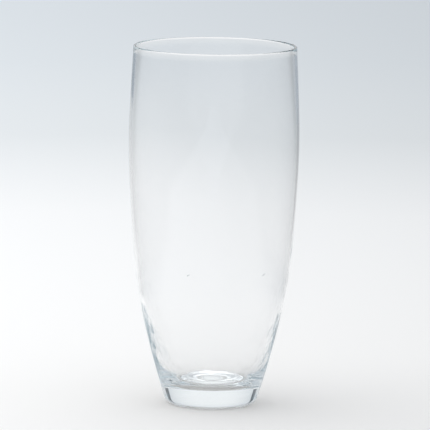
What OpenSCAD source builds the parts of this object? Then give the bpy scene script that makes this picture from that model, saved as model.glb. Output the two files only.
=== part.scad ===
// Clear glass flower vase: a barrel-shaped body that narrows to a heavy solid foot.
// One piece of glass, turned about the Z axis, standing on Z = 0.

/* [Body] */
// Height from the table to the top of the rim
vase_h = 300; // [240:5:360]
// Diameter at the belly, the widest part
belly_d = 142; // [132:1:160]
// Outer diameter of the mouth
mouth_d = 135.8; // [120:0.2:142]
// Diameter the side would have at the table if the foot's edge were sharp
foot_d = 75; // [72:0.5:84]

/* [Glass] */
// Thickness of the rim
rim_t = 2.5; // [2.2:0.1:3]
// Thickness of the wall at the belly
belly_t = 2.3; // [2:0.1:3]
// Thickness of the wall at the shoulder, halfway up
middle_t = 2.6; // [2:0.1:4]
// Height of the lowest part of the cavity, the trough around its floor
base_t = 17; // [14:0.5:20]
// How far the middle of the floor rises above that trough
floor_rise = 6.5; // [3:0.5:9]
// Radius of the trough's outer side
floor_r = 32; // [30:0.5:35]

/* [Foot] */
// Rounding of the foot's outer edge
foot_edge_r = 8.5; // [4:0.5:10]
// Radius of the hollow under the foot, inside the ring it stands on
punt_r = 27; // [18:1:28]
// Rise of that hollow at its middle
punt_rise = 3; // [1:0.5:5]

/* [Hidden] */
$fn = 180;

belly_r = belly_d / 2;
mouth_r = mouth_d / 2;
foot_r = foot_d / 2;
lip_r = rim_t / 2;
lip_z = vase_h - lip_r;

// Steps in each stretch of a smooth side, in the lip, and in the foot's edge and hollow
side_steps = 7;
lip_steps = 10;
edge_steps = 5;
punt_steps = 8;

// Guide points [radius, height] that the outside is drawn along, from the foot to the rim
outside_guides = [
    [foot_r, 0],
    [0.719 * belly_r, 0.147 * vase_h],
    [0.891 * belly_r, 0.333 * vase_h],
    [0.959 * belly_r, 0.500 * vase_h],
    [1.007 * belly_r, 0.707 * vase_h],
    [0.985 * belly_r, 0.873 * vase_h],
    [mouth_r, lip_z]
];

// The cavity's own guide points, from the middle of its floor to the rim
inside_guides = [
    [0, base_t + floor_rise],
    [0.575 * floor_r, base_t + 0.90 * floor_rise],
    [0.812 * floor_r, base_t],
    [floor_r, base_t],
    [0.577 * belly_r, 0.093 * vase_h],
    [0.697 * belly_r, 0.183 * vase_h],
    [0.806 * belly_r, 0.270 * vase_h],
    [0.859 * belly_r, 0.360 * vase_h],
    [0.959 * belly_r - middle_t, 0.500 * vase_h],
    [1.007 * belly_r - belly_t, 0.707 * vase_h],
    [0.985 * belly_r - belly_t, 0.873 * vase_h],
    [mouth_r - rim_t, lip_z]
];

// A smooth line that starts and ends on its first and last guides and leans on the others:
// one parabola for each inner guide, joined halfway to its neighbours
function meet(g, i) = i == 0 ? g[0] : i == len(g) - 2 ? g[i + 1] : (g[i] + g[i + 1]) / 2;
function bend(a, b, c, t) = (1 - t) * (1 - t) * a + 2 * t * (1 - t) * b + t * t * c;
function smooth(g) = concat([g[0]], [
    for (i = [1 : len(g) - 2], k = [1 : side_steps])
        bend(meet(g, i - 1), g[i], meet(g, i), k / side_steps)
]);
function reversed(p) = [for (i = [len(p) - 1 : -1 : 0]) p[i]];

// The foot's edge is an arc that touches the table and the leaning side
lean = atan((outside_guides[1].x - foot_r) / outside_guides[1].y);
foot_edge_x = foot_r - foot_edge_r * (1 - sin(lean)) / cos(lean);
function foot_edge_at(turn) = [foot_edge_x, foot_edge_r] + foot_edge_r * [cos(turn), sin(turn)];
foot_edge = [for (k = [0 : edge_steps - 1]) foot_edge_at(-90 + (90 - lean) * k / edge_steps)];

// The hollow under the foot is part of a large sphere
punt_sphere_r = (punt_r * punt_r + punt_rise * punt_rise) / (2 * punt_rise);
punt = [
    for (k = [0 : punt_steps], r = [punt_r * k / punt_steps])
        [r, sqrt(punt_sphere_r * punt_sphere_r - r * r) - (punt_sphere_r - punt_rise)]
];

outside = smooth(concat([foot_edge_at(-lean)], [for (i = [1 : len(outside_guides) - 1]) outside_guides[i]]));
lip = [
    for (k = [1 : lip_steps - 1], turn = [180 * k / lip_steps])
        [mouth_r - lip_r, lip_z] + lip_r * [cos(turn), sin(turn)]
];
inside = reversed(smooth(inside_guides));

// The whole glass: underside, foot's edge, outside, lip and cavity in one turned outline
module vase() {
    color([0.80, 0.87, 0.89, 0.35])
        rotate_extrude()
            polygon(concat(punt, foot_edge, outside, lip, inside));
}

vase();
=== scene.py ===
# %% [markdown]
# # A clear glass flower vase
# The vase is one piece of blown glass. It has a heavy solid foot, a body that swells slowly
# towards a belly near the top, a thin wall and a rounded rim. There is nothing to assemble, so
# the whole lesson is about three things: an outline that is exactly right, a clean turned mesh,
# and glass that has something worth bending behind it.

# %% Open the frame and note its size
import math

import bpy
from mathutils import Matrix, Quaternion, Vector


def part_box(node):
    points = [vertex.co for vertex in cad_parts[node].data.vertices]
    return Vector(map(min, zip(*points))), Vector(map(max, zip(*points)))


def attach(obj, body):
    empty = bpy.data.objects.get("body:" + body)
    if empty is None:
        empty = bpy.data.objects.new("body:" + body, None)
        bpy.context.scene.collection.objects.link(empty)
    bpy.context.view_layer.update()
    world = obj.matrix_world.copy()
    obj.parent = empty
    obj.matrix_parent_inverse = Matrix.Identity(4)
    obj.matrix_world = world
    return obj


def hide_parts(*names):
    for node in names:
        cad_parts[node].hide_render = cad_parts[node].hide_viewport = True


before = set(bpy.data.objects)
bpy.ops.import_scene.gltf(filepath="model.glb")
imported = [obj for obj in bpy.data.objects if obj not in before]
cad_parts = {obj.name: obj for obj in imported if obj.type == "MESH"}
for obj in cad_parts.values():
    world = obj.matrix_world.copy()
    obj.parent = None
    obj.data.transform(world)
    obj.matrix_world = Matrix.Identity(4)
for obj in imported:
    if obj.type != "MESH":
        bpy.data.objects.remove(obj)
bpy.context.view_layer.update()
highest_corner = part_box("vase")[1]
vase_h = highest_corner[2]
print("frame: height %.1f mm, belly %.1f mm across" % (vase_h * 1000, highest_corner[0] * 2000))

# %% [markdown]
# ## The camera
# A long lens from far away keeps the sides of a tall vase nearly parallel. The camera stands a
# little above the rim's height and looks slightly down, so the mouth opens into a thin ellipse.
# It is made first, because every later choice is judged through it. A quaternion holds the aim,
# and a second small one turns the picture by less than a degree, as a hand-held camera does.

# %% Set up the camera
camera_distance = 4.178
camera_height = 0.759
aim_point = Vector((0.0016, 0.0, 0.1583))
lens_mm = 424.8
sensor_mm = 36.0
roll_degrees = 0.75
clip_far = 100.0

camera = bpy.data.objects.new("camera", bpy.data.cameras.new("camera"))
bpy.context.scene.collection.objects.link(camera)
bpy.context.scene.camera = camera
camera.location = (0.0, -camera_distance, camera_height)
camera.data.lens = lens_mm
camera.data.sensor_width = sensor_mm
camera.data.clip_end = clip_far
aim = (aim_point - camera.location).to_track_quat("-Z", "Y")
roll = Quaternion((0.0, 0.0, 1.0), math.radians(roll_degrees))
camera.rotation_mode = "QUATERNION"
camera.rotation_quaternion = aim @ roll
print("camera: %.2f m away, lens %.0f mm" % (camera.location.length, lens_mm))

# %% [markdown]
# ## The outline
# A glass blower's mould is turned, so half of a section says everything about its shape. The
# outline could be traced point by point, but hand-placed points always ripple, and glass shows
# every ripple. A few guide points with one parabola for each of them give a line that has no
# kinks at all: each parabola starts and ends halfway between two guides, and the ends meet.

# %% A smooth line from a few guides
def meeting_point(guides, i):
    if i == 0:
        return guides[0]
    if i == len(guides) - 2:
        return guides[-1]
    return (guides[i] + guides[i + 1]) / 2


def smooth_line(guides, steps):
    line = [guides[0]]
    for i in range(1, len(guides) - 1):
        start = meeting_point(guides, i - 1)
        end = meeting_point(guides, i)
        for k in range(1, steps + 1):
            t = k / steps
            line.append((1 - t) ** 2 * start + 2 * t * (1 - t) * guides[i] + t * t * end)
    return line


def arc(centre, radius, first_degrees, last_degrees, steps):
    turns = [math.radians(first_degrees + (last_degrees - first_degrees) * k / steps)
             for k in range(steps + 1)]
    return [centre + radius * Vector((math.cos(turn), math.sin(turn))) for turn in turns]

# %% [markdown]
# The outside runs from the rounded edge of the foot to the rim. Heights are shares of the
# vase's height, which the frame gives. Radii are shares of the belly's guide radius, a hair
# more than the belly's own, because a smooth line leans on its guides without reaching them.
# The foot's edge is one arc that touches both the table and the leaning side.

# %% The outside, from the foot's edge to the rim
mouth_r = 0.0679
foot_r = 0.0375
foot_edge_r = 0.0085
rim_t = 0.0025
lip_r = rim_t / 2
lip_z = vase_h - lip_r
outside_steps = 12
edge_steps = 10
belly_guide_r = 0.071

outside_guides = [
    Vector((0.719 * belly_guide_r, 0.147 * vase_h)),
    Vector((0.891 * belly_guide_r, 0.333 * vase_h)),
    Vector((0.959 * belly_guide_r, 0.500 * vase_h)),
    Vector((1.007 * belly_guide_r, 0.707 * vase_h)),
    Vector((0.985 * belly_guide_r, 0.873 * vase_h)),
    Vector((mouth_r, lip_z)),
]
lean = math.atan((outside_guides[0].x - foot_r) / outside_guides[0].y)
foot_edge_x = foot_r - foot_edge_r * (1 - math.sin(lean)) / math.cos(lean)
edge_centre = Vector((foot_edge_x, foot_edge_r))
foot_edge = arc(edge_centre, foot_edge_r, -90, -math.degrees(lean), edge_steps)
outside = smooth_line(foot_edge[-1:] + outside_guides, outside_steps)
print("outside: %d points, side leans %.1f degrees at the foot"
      % (len(outside), math.degrees(lean)))

# %% [markdown]
# The cavity has its own guides. The wall is thin at the rim and the belly and grows to about
# 7 mm beside the floor, where the hot glass ran down and gathered. The floor rises in the middle
# and has a shallow trough around it, from the tool that pushed the foot up to make it stand
# steady. That rise is the bright oval that shows through the side of such a vase.

# %% The cavity, from the middle of its floor to the rim
belly_t = 0.0023
middle_t = 0.0026
base_t = 0.017
floor_rise = 0.0065
floor_r = 0.032
inside_steps = 14

inside_guides = [
    Vector((0.0, base_t + floor_rise)),
    Vector((0.575 * floor_r, base_t + 0.90 * floor_rise)),
    Vector((0.812 * floor_r, base_t)),
    Vector((floor_r, base_t)),
    Vector((0.577 * belly_guide_r, 0.093 * vase_h)),
    Vector((0.697 * belly_guide_r, 0.183 * vase_h)),
    Vector((0.806 * belly_guide_r, 0.270 * vase_h)),
    Vector((0.859 * belly_guide_r, 0.360 * vase_h)),
    Vector((0.959 * belly_guide_r - middle_t, 0.500 * vase_h)),
    Vector((1.007 * belly_guide_r - belly_t, 0.707 * vase_h)),
    Vector((0.985 * belly_guide_r - belly_t, 0.873 * vase_h)),
    Vector((mouth_r - rim_t, lip_z)),
]
cavity = smooth_line(inside_guides, inside_steps)[::-1]
print("cavity: %d points, %.1f mm of glass under its trough" % (len(cavity), base_t * 1000))

# %% [markdown]
# Under the foot is a shallow hollow, a small part of a large sphere, so the vase stands on a
# ring and doesn't rock. The rim is a half circle, as the burner's flame rounds it. The first
# point is put exactly on the axis, so that the spin closes there.

# %% The hollow under the foot and the lip
punt_r = 0.027
punt_rise = 0.003
punt_steps = 10
lip_steps = 12

punt_sphere_r = (punt_r ** 2 + punt_rise ** 2) / (2 * punt_rise)
punt_half_turn = math.degrees(math.asin(punt_r / punt_sphere_r))
punt_centre = Vector((0.0, punt_rise - punt_sphere_r))
punt = arc(punt_centre, punt_sphere_r, 90, 90 - punt_half_turn, punt_steps)
lip = arc(Vector((mouth_r - lip_r, lip_z)), lip_r, 0, 180, lip_steps)[1:-1]
punt[0].x = 0.0
outline = punt + foot_edge + outside[1:] + lip + cavity
cavity_start = len(outline) - len(cavity)
print("outline: %d points, sphere of the hollow %.0f mm" % (len(outline), punt_sphere_r * 1000))

# %% [markdown]
# ## Drawing the outline
# In the viewport this is one vertex, extruded again and again. A plane merged at its middle is
# a quick way to get that first vertex. Each extrusion is a move by the difference between two
# neighbouring points of the outline, in the upright XZ plane.

# %% Draw the outline as a chain of edges
def choose_only(piece):
    bpy.ops.object.select_all(action="DESELECT")
    piece.select_set(True)
    bpy.context.view_layer.objects.active = piece


def upright(point):
    return Vector((point.x, 0.0, point.y))


bpy.ops.object.select_all(action="DESELECT")
bpy.ops.mesh.primitive_plane_add(size=rim_t, location=(0, 0, 0))
vase = bpy.context.object
vase.name = "vase_glass"
vase.data.name = "vase_glass"
bpy.ops.object.mode_set(mode="EDIT")
bpy.ops.mesh.select_all(action="SELECT")
bpy.ops.mesh.merge(type="CENTER")
bpy.ops.transform.translate(value=upright(outline[0]))
for here, there in zip(outline, outline[1:]):
    bpy.ops.mesh.extrude_vertices_move(
        TRANSFORM_OT_translate={"value": upright(there) - upright(here)})
bpy.ops.object.mode_set(mode="OBJECT")
print("chain: %d vertices, %d edges" % (len(vase.data.vertices), len(vase.data.edges)))

# %% [markdown]
# ## Marking the cavity before the spin
# Two vertex groups are easier to make now, while the mesh is still one line, because the spin
# copies them round. The first holds the cavity and fades out towards the rim. The second holds
# the thick lower wall, where the inside of blown glass is never quite even.

# %% Vertex groups for the cavity
fade_low = 0.135
fade_high = 0.285
wave_low = 0.026
wave_full = 0.045
wave_end = 0.150
drift_name = "cavity"
wave_name = "lower_wall"


def smooth_step(value, low, high):
    t = min(1.0, max(0.0, (value - low) / (high - low)))
    return t * t * (3 - 2 * t)


drift_group = vase.vertex_groups.new(name=drift_name)
wave_group = vase.vertex_groups.new(name=wave_name)
for vertex in vase.data.vertices[cavity_start:]:
    height = vertex.co.z
    drift_group.add([vertex.index], 1 - smooth_step(height, fade_low, fade_high), "REPLACE")
    rising = smooth_step(height, wave_low, wave_full)
    wave_group.add([vertex.index], rising * (1 - smooth_step(height, wave_full, wave_end)), "REPLACE")
print("cavity: %d of %d outline points" % (len(outline) - cavity_start, len(outline)))

# %% [markdown]
# ## The spin
# Spin turns the chain about the upright axis and joins each copy to the next. The last copy
# lies on the first, and the two points on the axis are copied once for every step, so the
# doubles are merged. Spin can leave a shape inside out, so the normals are worked out again
# afterwards, while the mesh is closed and outside is a clear question.

# %% Spin the outline into a vase
turn_steps = 256
merge_distance = 0.00001

choose_only(vase)
bpy.ops.object.mode_set(mode="EDIT")
bpy.ops.mesh.select_all(action="SELECT")
bpy.ops.mesh.spin(steps=turn_steps, angle=2 * math.pi, center=(0, 0, 0), axis=(0, 0, 1))
bpy.ops.mesh.select_all(action="SELECT")
bpy.ops.mesh.remove_doubles(threshold=merge_distance)
bpy.ops.mesh.normals_make_consistent(inside=False)
bpy.ops.object.mode_set(mode="OBJECT")
bpy.ops.object.shade_smooth()
print("vase: %d vertices, %d faces" % (len(vase.data.vertices), len(vase.data.polygons)))

# %% [markdown]
# ## The marks of hand work
# A perfect solid of revolution looks like a computer drawing. Real blown glass has a cavity
# that sits a little to one side, so one wall is thicker than the other, and a slow waviness
# inside the thick part. Both are Displace modifiers limited by the vertex groups: one pushes
# straight along X with no texture, the other follows a cloud texture along the normals. The
# groups are given by their plain names, because applying a modifier makes the groups anew, and
# a group that Python got before then can no longer be trusted.

# %% Move the cavity to one side and make its lower wall wavy
drift = 0.0007
wave_height = 0.0003
wave_size = 0.010
wave_detail = 1
middle_grey = 0.5

shift = vase.modifiers.new("cavity to one side", "DISPLACE")
shift.direction = "X"
shift.mid_level = 0.0
shift.strength = drift
shift.vertex_group = drift_name
bpy.ops.object.modifier_apply(modifier=shift.name)

clouds = bpy.data.textures.new("slow waves", "CLOUDS")
clouds.noise_scale = wave_size
clouds.noise_depth = wave_detail
waves = vase.modifiers.new("uneven lower wall", "DISPLACE")
waves.texture = clouds
waves.texture_coords = "LOCAL"
waves.direction = "NORMAL"
waves.mid_level = middle_grey
waves.strength = wave_height
waves.vertex_group = wave_name
bpy.ops.object.modifier_apply(modifier=waves.name)
print("cavity moved %.1f mm, waves %.2f mm from top to bottom" % (drift * 1000, wave_height * 1000))

# %% [markdown]
# ## Two seeds
# Hand-made glass nearly always has a seed or two: a tiny air bubble, drawn out long by the
# blowing. A sphere squeezed to a grain of rice does it. Air inside glass is a surface whose
# outside faces the air, so its normals are flipped before it joins the vase.

# %% Two seeds inside the wall
seed_r = 0.0633
seed_half_sizes = (0.0016, 0.0003, 0.0004)
seed_tilt = -35
seed_places = ((-17.9, 0.1167), (41.2, 0.1161))
seed_segments = 16
seed_rings = 8

seeds = []
for turn, height in seed_places:
    angle = math.radians(turn)
    bpy.ops.object.select_all(action="DESELECT")
    bpy.ops.mesh.primitive_uv_sphere_add(
        segments=seed_segments, ring_count=seed_rings, radius=1,
        location=(math.sin(angle) * seed_r, -math.cos(angle) * seed_r, height),
        rotation=(0, math.radians(seed_tilt), angle), scale=seed_half_sizes)
    bpy.ops.object.shade_smooth()
    bpy.ops.object.mode_set(mode="EDIT")
    bpy.ops.mesh.select_all(action="SELECT")
    bpy.ops.mesh.flip_normals()
    bpy.ops.object.mode_set(mode="OBJECT")
    seeds.append(bpy.context.object)
for seed in seeds:
    seed.select_set(True)
vase.select_set(True)
bpy.context.view_layer.objects.active = vase
bpy.ops.object.join()
print("vase with seeds: %d faces" % len(vase.data.polygons))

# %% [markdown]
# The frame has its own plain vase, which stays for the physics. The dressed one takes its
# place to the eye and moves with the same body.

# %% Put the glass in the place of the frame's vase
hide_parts("vase")
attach(vase, "root")

# %% [markdown]
# ## The glass
# Clear glass is almost nothing: no colour of its own on the surface, an index of refraction of
# about 1.5 and full transmission. Two things stop it looking like a lens in a catalogue. The
# skin has a faint hand-made unevenness, stronger on the thick lower wall, and a few specks and
# wiped smears that dull the shine. Both live in one node group with named values, so each part
# of the recipe can be turned up or down without touching the shader.
#
# Three helpers keep the recipe short: one places a node, one stretches a range of values onto
# another, and one does a sum.

# %% Helpers for placing nodes
def add_node(tree, kind, **settings):
    node = tree.nodes.new(kind)
    for name, value in settings.items():
        setattr(node, name, value)
    return node


def remap(tree, value, from_range, to_range=(0.0, 1.0), curve="SMOOTHSTEP"):
    node = add_node(tree, "ShaderNodeMapRange", interpolation_type=curve)
    limits = (*from_range, *to_range)
    for name, limit in zip(("From Min", "From Max", "To Min", "To Max"), limits):
        node.inputs[name].default_value = limit
    tree.links.new(value, node.inputs["Value"])
    return node.outputs["Result"]


def calculate(tree, operation, *values):
    node = add_node(tree, "ShaderNodeMath", operation=operation)
    for socket, value in zip(node.inputs, values):
        if isinstance(value, float):
            socket.default_value = value
        else:
            tree.links.new(value, socket)
    return node.outputs["Value"]

# %% [markdown]
# The ripples are a soft noise. They have their full height on the lower wall only, where they
# follow the same heights as the waves in the mesh, and nearly vanish on the foot and the thin
# upper wall, which the mould and the flame leave smooth.

# %% Ripples that are strongest on the lower wall
ripple_detail = 1.0
faint_ripple = 0.06
fade_below = 0.006
fade_above = 0.004


def ripples_on(group, place, size):
    ripple = add_node(group, "ShaderNodeTexNoise")
    ripple.inputs["Detail"].default_value = ripple_detail
    group.links.new(place, ripple.inputs["Vector"])
    group.links.new(size, ripple.inputs["Scale"])
    parts = add_node(group, "ShaderNodeSeparateXYZ")
    group.links.new(place, parts.inputs["Vector"])
    height = parts.outputs["Z"]
    lower_wall = remap(group, height, (wave_end, wave_full), (faint_ripple, 1.0))
    foot_edge_heights = (wave_low - fade_below, wave_low + fade_above)
    above_foot = remap(group, height, foot_edge_heights, (faint_ripple, 1.0))
    both = calculate(group, "MULTIPLY", lower_wall, above_foot)
    return calculate(group, "MULTIPLY", ripple.outputs["Fac"], both)

# %% [markdown]
# A speck is the middle of a Voronoi cell, and only the few cells whose random colour is almost
# fully red have one. A smear is the upper end of a swirling noise, as a cloth leaves it.

# %% Specks and smears
speck_outer = 0.10
speck_inner = 0.02
speck_rarity = 0.985
speck_height = 1.5
smear_detail = 4.0
smear_swirl = 1.2
smear_range = (0.50, 0.75)


def specks_on(group, place, size):
    cells = add_node(group, "ShaderNodeTexVoronoi")
    group.links.new(place, cells.inputs["Vector"])
    group.links.new(size, cells.inputs["Scale"])
    dot = remap(group, cells.outputs["Distance"], (speck_outer, speck_inner))
    cell_colour = add_node(group, "ShaderNodeSeparateColor")
    group.links.new(cells.outputs["Color"], cell_colour.inputs["Color"])
    chosen = calculate(group, "GREATER_THAN", cell_colour.outputs["Red"], speck_rarity)
    return calculate(group, "MULTIPLY", dot, chosen)


def smears_on(group, place, size):
    smear = add_node(group, "ShaderNodeTexNoise")
    smear.inputs["Detail"].default_value = smear_detail
    smear.inputs["Distortion"].default_value = smear_swirl
    group.links.new(place, smear.inputs["Vector"])
    group.links.new(size, smear.inputs["Scale"])
    return remap(group, smear.outputs["Fac"], smear_range)

# %% [markdown]
# The group puts the three together. Ripples and specks add up to one height for the bump, and
# the smears become a roughness. Both change over the surface, and both leave the group.

# %% The node group for the skin of blown glass
skin_values = (
    ("Ripple size", 220.0),
    ("Smear size", 14.0),
    ("Smear roughness", 0.03),
    ("Speck size", 160.0),
)


def blown_skin_group():
    group = bpy.data.node_groups.new("blown skin", "ShaderNodeTree")
    for name, start in skin_values:
        socket = group.interface.new_socket(name, in_out="INPUT", socket_type="NodeSocketFloat")
        socket.default_value = start
    for name in ("Height", "Roughness"):
        group.interface.new_socket(name, in_out="OUTPUT", socket_type="NodeSocketFloat")
    inputs = add_node(group, "NodeGroupInput").outputs
    outputs = add_node(group, "NodeGroupOutput").inputs
    place = add_node(group, "ShaderNodeTexCoord").outputs["Object"]
    ripples = ripples_on(group, place, inputs["Ripple size"])
    specks = specks_on(group, place, inputs["Speck size"])
    smears = smears_on(group, place, inputs["Smear size"])
    height = calculate(group, "MULTIPLY_ADD", specks, speck_height, ripples)
    dulled = calculate(group, "MULTIPLY", smears, inputs["Smear roughness"])
    group.links.new(height, outputs["Height"])
    group.links.new(dulled, outputs["Roughness"])
    return group


skin_group = blown_skin_group()
print("blown skin: %d nodes" % len(skin_group.nodes))

# %% [markdown]
# Colour in glass comes from depth, not from the surface. A thin wall is clear and the thick
# foot has a faint cool tint, so the colour belongs in the volume. Volume Absorption takes the
# colour that is left after a metre of glass, and the surface itself stays plain white.

# %% The clear glass
glass_ior = 1.5
tint = (0.10, 0.38, 0.48, 1.0)
tint_density = 1.5
ripple_strength = 0.30
ripple_height = 0.0002

glass = bpy.data.materials.new("clear_glass")
glass.use_nodes = True
tree = glass.node_tree
surface = tree.nodes["Principled BSDF"]
surface.inputs["Base Color"].default_value = (1.0, 1.0, 1.0, 1.0)
surface.inputs["IOR"].default_value = glass_ior
surface.inputs["Transmission Weight"].default_value = 1.0
skin = add_node(tree, "ShaderNodeGroup", node_tree=skin_group)
bump = add_node(tree, "ShaderNodeBump")
bump.inputs["Strength"].default_value = ripple_strength
bump.inputs["Distance"].default_value = ripple_height
tree.links.new(skin.outputs["Height"], bump.inputs["Height"])
tree.links.new(bump.outputs["Normal"], surface.inputs["Normal"])
tree.links.new(skin.outputs["Roughness"], surface.inputs["Roughness"])
depth = add_node(tree, "ShaderNodeVolumeAbsorption")
depth.inputs["Color"].default_value = tint
depth.inputs["Density"].default_value = tint_density
tree.links.new(depth.outputs["Volume"], tree.nodes["Material Output"].inputs["Volume"])
vase.data.materials.clear()
vase.data.materials.append(glass)
print("glass: index %.2f, ripples %.2f mm" % (glass_ior, ripple_height * 1000))

# %% [markdown]
# ## The stage
# Glass has no look of its own: it shows what surrounds it, bent. The floor is a wide pale disc.
# Its colour carries painted light and shade: nearly white near the vase, it dips to a painted
# shade of cool grey about two metres away, so the upper part of the glass stands before a soft
# grey and the foot before white. Further off it is painted lighter again, making up for the
# lamps' light falling off. A colour ramp on the distance from the middle does that without a
# visible edge.

# %% A wide pale floor
floor_radius = 8.0
floor_sides = 128
floor_roughness = 0.9
# Painted light and shade along the distance: grey about two metres out, lighter beyond it.
floor_painted_light_tones = (
    (0.00, (0.88, 0.87, 0.86)),
    (0.14, (0.86, 0.86, 0.86)),
    (0.22, (0.77, 0.79, 0.80)),
    (0.32, (0.82, 0.85, 0.87)),
    (0.42, (0.90, 0.93, 0.95)),
    (1.00, (0.86, 0.89, 0.91)),
)


def matt_paint(name, roughness):
    paint = bpy.data.materials.new(name)
    paint.use_nodes = True
    surface = paint.node_tree.nodes["Principled BSDF"]
    surface.inputs["Roughness"].default_value = roughness
    surface.inputs["Specular IOR Level"].default_value = 0.0
    return paint, surface


def fill_ramp(ramp, tones):
    steps = ramp.color_ramp.elements
    steps[0].position = tones[0][0]
    steps[0].color = (*tones[0][1], 1.0)
    steps[1].position = tones[-1][0]
    steps[1].color = (*tones[-1][1], 1.0)
    for position, tone in tones[1:-1]:
        step = steps.new(position)
        step.color = (*tone, 1.0)


bpy.ops.object.select_all(action="DESELECT")
bpy.ops.mesh.primitive_circle_add(vertices=floor_sides, radius=floor_radius, fill_type="NGON")
floor = bpy.context.object
floor.name = "floor"
floor_paint, floor_surface = matt_paint("pale_floor", floor_roughness)
tree = floor_paint.node_tree
floor_place = add_node(tree, "ShaderNodeTexCoord").outputs["Object"]
distance = add_node(tree, "ShaderNodeVectorMath", operation="LENGTH")
tree.links.new(floor_place, distance.inputs[0])
share = remap(tree, distance.outputs["Value"], (0.0, floor_radius), curve="LINEAR")
floor_painted_light_ramp = add_node(tree, "ShaderNodeValToRGB")
fill_ramp(floor_painted_light_ramp, floor_painted_light_tones)
tree.links.new(share, floor_painted_light_ramp.inputs["Fac"])
floor.data.materials.append(floor_paint)
print("floor: %.0f m across" % (2 * floor_radius))

# %% [markdown]
# Light in a studio is never quite even, and here that is painted into the floor's colour. Painted
# light makes the floor a little lighter on the left than on the right, and painted shade makes it
# a touch darker in front of the vase than behind it. Each of these is a factor near one that
# changes slowly along X or Y.

# %% Paint light and shade on the floor from left to right and from front to back
# Painted light and shade: these factors scale the floor's colour, not the lamps.
shade_reach = 0.6
shade_left = 1.06
shade_right = 0.89
front_shade = 0.97
front_reach = 0.3

floor_parts = add_node(tree, "ShaderNodeSeparateXYZ")
tree.links.new(floor_place, floor_parts.inputs["Vector"])
floor_x = floor_parts.outputs["X"]
floor_y = floor_parts.outputs["Y"]
painted_light_across = remap(tree, floor_x, (-shade_reach, shade_reach), (shade_left, shade_right))
painted_shade_front = remap(tree, floor_y, (-front_reach, front_reach), (front_shade, 1.0))
print("floor: %.2f times as light at the left as at the right" % (shade_left / shade_right))

# %% [markdown]
# The steep sides of the glass show the floor far out to each side. If it were as pale as the
# middle, the vase would lose its outline, so a painted shade darkens the floor's colour softly
# beyond both sides of the camera's view. The pale middle widens with the distance behind the
# vase, as the view does, and opens out in front, where darkness would show as a line down the
# middle of the glass.

# %% Paint shade on the floor beyond both sides of the view
# Painted shade: the floor's colour is scaled down to side_shade beyond the view.
side_shade = 0.70
side_from = 0.19
side_until = 0.42
side_spread = 0.043
open_front = 0.5

aside = calculate(tree, "ABSOLUTE", floor_x)
widening = remap(tree, floor_y, (0.0, floor_radius), (0.0, side_spread * floor_radius), "LINEAR")
opening = remap(tree, floor_y, (-open_front, 0.0), (open_front, 0.0), "LINEAR")
past_widening = calculate(tree, "SUBTRACT", aside, widening)
past_middle = calculate(tree, "SUBTRACT", past_widening, opening)
painted_side_shade = remap(tree, past_middle, (side_from, side_until), (1.0, side_shade))
# All the painted light and shade factors multiply the floor's colour together.
painted_unevenness = calculate(tree, "MULTIPLY", painted_light_across, painted_shade_front)
painted_floor_light = calculate(tree, "MULTIPLY", painted_unevenness, painted_side_shade)
floor_colour_with_painted_light = add_node(tree, "ShaderNodeVectorMath", operation="SCALE")
tree.links.new(floor_painted_light_ramp.outputs["Color"], floor_colour_with_painted_light.inputs[0])
tree.links.new(painted_floor_light, floor_colour_with_painted_light.inputs["Scale"])
tree.links.new(floor_colour_with_painted_light.outputs["Vector"], floor_surface.inputs["Base Color"])
print("floor: darkens from %.2f m to %.2f m beside the vase" % (side_from, side_until))

# %% [markdown]
# ## The room
# The solid foot works as a strong lens: it throws away the table and shows the room behind the
# vase, a few degrees above the horizon. So the world is not one colour. Behind the vase it is
# a cool grey at the horizon, bright a little higher and quieter overhead. To the sides and on
# the camera's side it is dimmer all over, as a studio is.

# %% A soft room from two ramps
room_back = (
    (0.00, (0.60, 0.65, 0.69)),
    (0.06, (0.62, 0.67, 0.71)),
    (0.11, (0.97, 0.98, 0.99)),
    (0.35, (0.92, 0.94, 0.95)),
    (0.60, (0.60, 0.62, 0.65)),
    (1.00, (0.55, 0.57, 0.60)),
)
room_front = (
    (0.00, (0.42, 0.46, 0.50)),
    (0.12, (0.62, 0.66, 0.70)),
    (0.40, (0.62, 0.66, 0.70)),
    (1.00, (0.55, 0.57, 0.60)),
)
bright_until = 0.97
dim_from = 0.50

world = bpy.data.worlds.new("studio")
bpy.context.scene.world = world
world.use_nodes = True
tree = world.node_tree
place = add_node(tree, "ShaderNodeTexCoord")
parts = add_node(tree, "ShaderNodeSeparateXYZ")
tree.links.new(place.outputs["Generated"], parts.inputs["Vector"])
back = add_node(tree, "ShaderNodeValToRGB")
fill_ramp(back, room_back)
front = add_node(tree, "ShaderNodeValToRGB")
fill_ramp(front, room_front)
tree.links.new(parts.outputs["Z"], back.inputs["Fac"])
tree.links.new(parts.outputs["Z"], front.inputs["Fac"])
towards_front = remap(tree, parts.outputs["Y"], (bright_until, dim_from), curve="LINEAR")
blend = add_node(tree, "ShaderNodeMixRGB")
tree.links.new(towards_front, blend.inputs["Fac"])
tree.links.new(back.outputs["Color"], blend.inputs["Color1"])
tree.links.new(front.outputs["Color"], blend.inputs["Color2"])
tree.links.new(blend.outputs["Color"], tree.nodes["Background"].inputs["Color"])
print("room: %d tones behind the vase, %d in front" % (len(room_back), len(room_front)))

# %% [markdown]
# ## The lamps
# A large softbox overhead gives a shadow with no edge. Clear glass leaves hardly any shadow on
# a white ground, so a second lamp in the same place, which casts none, does more than half of
# the lighting. That one stays out of sight of the glass.

# %% A softbox and a fill lamp
softbox_side = 3.0
softbox_watts = 24.0
softbox_place = (-0.9, 0.3, 2.3)
fill_watts = 33.0
lamp_tone = (1.0, 0.98, 0.95)


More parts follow.
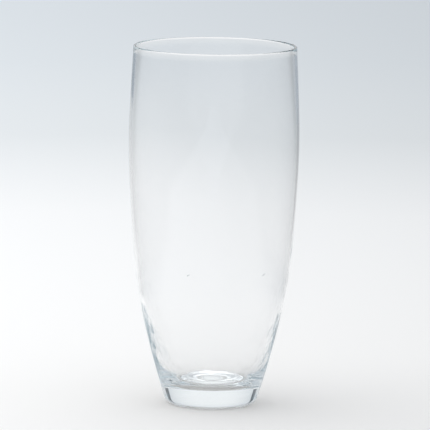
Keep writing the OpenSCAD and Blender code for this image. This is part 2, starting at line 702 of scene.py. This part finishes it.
def hang_lamp(name, watts):
    lamp = bpy.data.lights.new(name, "AREA")
    lamp.size = softbox_side
    lamp.energy = watts
    lamp.color = lamp_tone
    hanging = bpy.data.objects.new(name, lamp)
    bpy.context.scene.collection.objects.link(hanging)
    hanging.location = softbox_place
    return hanging


softbox = hang_lamp("softbox", softbox_watts)
fill = hang_lamp("fill", fill_watts)
fill.data.use_shadow = False
fill.visible_glossy = False
fill.visible_transmission = False
print("lamps: %.0f W in the %s, %.0f W in the %s"
      % (softbox_watts, softbox.name, fill_watts, fill.name))

# %% [markdown]
# ## Four grey cards
# Bright glass on a bright ground loses its outline, so product photographers stand dark cards
# just outside the picture. The glass bends them into its edges as thin dark lines. The low,
# paler pair stands behind the vase and draws the sides of the upper wall. The tall, dark pair
# stands further round and draws the sides of the solid foot. The cards are hidden from the
# camera and from the floor's light, so only the glass can see them.

# %% Four grey cards
card_roughness = 1.0
tall_edges = (0.30, 2.1)
tall_tone = (0.08, 0.10, 0.12, 1.0)
low_edges = (0.0, 0.26)
upright_tilt = math.radians(90)
cards = (
    ("tall_card_left", -54, 2.6, 0.28, tall_edges, tall_tone),
    ("tall_card_right", 54, 2.6, 0.28, tall_edges, tall_tone),
    ("low_card_left", -23, 2.4, 0.40, low_edges, (0.46, 0.50, 0.54, 1.0)),
    ("low_card_right", 23, 2.4, 0.45, low_edges, (0.58, 0.62, 0.66, 1.0)),
)


def show_to_glass_only(prop):
    prop.visible_camera = False
    prop.visible_diffuse = False
    prop.visible_shadow = False


for name, turn, card_distance, half_width, (low_edge, high_edge), tone in cards:
    card_paint, card_surface = matt_paint(name, card_roughness)
    card_surface.inputs["Base Color"].default_value = tone
    angle = math.radians(turn)
    place = Vector((math.sin(angle), math.cos(angle), 0.0)) * card_distance
    place.z = (low_edge + high_edge) / 2
    bpy.ops.object.select_all(action="DESELECT")
    bpy.ops.mesh.primitive_plane_add(size=1, location=place, rotation=(upright_tilt, 0, -angle))
    card = bpy.context.object
    card.name = name
    card.scale = (2 * half_width, high_edge - low_edge, 1)
    card.data.materials.append(card_paint)
    show_to_glass_only(card)
    print("%s stands %.1f m away at %d degrees" % (card.name, card_distance, turn))

# %% [markdown]
# ## Two soft painted shadows on the floor
# The same trick is needed lower down. The thick lower sides are steep lenses too, and they show
# the floor close beside the vase. A soft grey patch of painted shadow on each side, like a faint
# shadow of the vase, turns the white band at the glass's edge into a blue-grey one. The paint
# fades out from the middle of each patch, so it has no edge to see, and it stays thin, because
# from other sides it shows through the glass.

# %% Painted shadow that fades out from its middle
patch_half_width = 0.060
patch_half_length = 0.125
# Painted shadow: the blue-grey of a soft shadow lying beside the vase.
patch_shadow_tone = (0.30, 0.39, 0.43, 1.0)
patch_roughness = 1.0
patch_cover = 0.4
patch_core = 0.2

shadow_patch_paint, shadow_patch_surface = matt_paint("painted_shadow_patch", patch_roughness)
shadow_patch_surface.inputs["Base Color"].default_value = patch_shadow_tone
tree = shadow_patch_paint.node_tree
patch_place = add_node(tree, "ShaderNodeTexCoord").outputs["Object"]
to_a_circle = add_node(tree, "ShaderNodeVectorMath", operation="MULTIPLY")
to_a_circle.inputs[1].default_value = (1 / patch_half_width, 1 / patch_half_length, 0.0)
from_middle = add_node(tree, "ShaderNodeVectorMath", operation="LENGTH")
tree.links.new(patch_place, to_a_circle.inputs[0])
tree.links.new(to_a_circle.outputs["Vector"], from_middle.inputs[0])
cover = remap(tree, from_middle.outputs["Value"], (1.0, patch_core), (0.0, patch_cover))
tree.links.new(cover, shadow_patch_surface.inputs["Alpha"])
print("patch paint: covers %.0f %% at most" % (patch_cover * 100))

# %% [markdown]
# Each patch is a plane stretched in edit mode, so that its paint can measure it in metres. It
# is then turned and set down beside the vase, just above the floor.

# %% A painted shadow patch on each side
patch_middle = Vector((0.125, 0.150, 0.002))
patch_turn = 38

for name, hand in (("shadow_patch_left", -1), ("shadow_patch_right", 1)):
    bpy.ops.object.select_all(action="DESELECT")
    bpy.ops.mesh.primitive_plane_add(size=2)
    patch = bpy.context.object
    patch.name = name
    bpy.ops.object.mode_set(mode="EDIT")
    bpy.ops.transform.resize(value=(patch_half_width, patch_half_length, 1))
    bpy.ops.object.mode_set(mode="OBJECT")
    patch.location = (hand * patch_middle.x, patch_middle.y, patch_middle.z)
    patch.rotation_euler.z = -hand * math.radians(patch_turn)
    patch.data.materials.append(shadow_patch_paint)
    show_to_glass_only(patch)
print("patches: %.0f by %.0f mm" % (patch_half_width * 2000, patch_half_length * 2000))

# %% [markdown]
# ## Enough bounces for thick glass
# Light that enters a thick wall can bounce along inside it many times before it finds a way
# out. With too few bounces those paths end black, so the limits are raised. The Standard view
# transform keeps the pale ground pale.

# %% Let the light travel
glass_bounces = 160

scene = bpy.context.scene
scene.view_settings.view_transform = "Standard"
scene.cycles.use_denoising = True
scene.cycles.max_bounces = glass_bounces
scene.cycles.transmission_bounces = glass_bounces
scene.cycles.glossy_bounces = glass_bounces
scene.cycles.caustics_reflective = True
scene.cycles.caustics_refractive = True
print("light may bounce %d times" % glass_bounces)
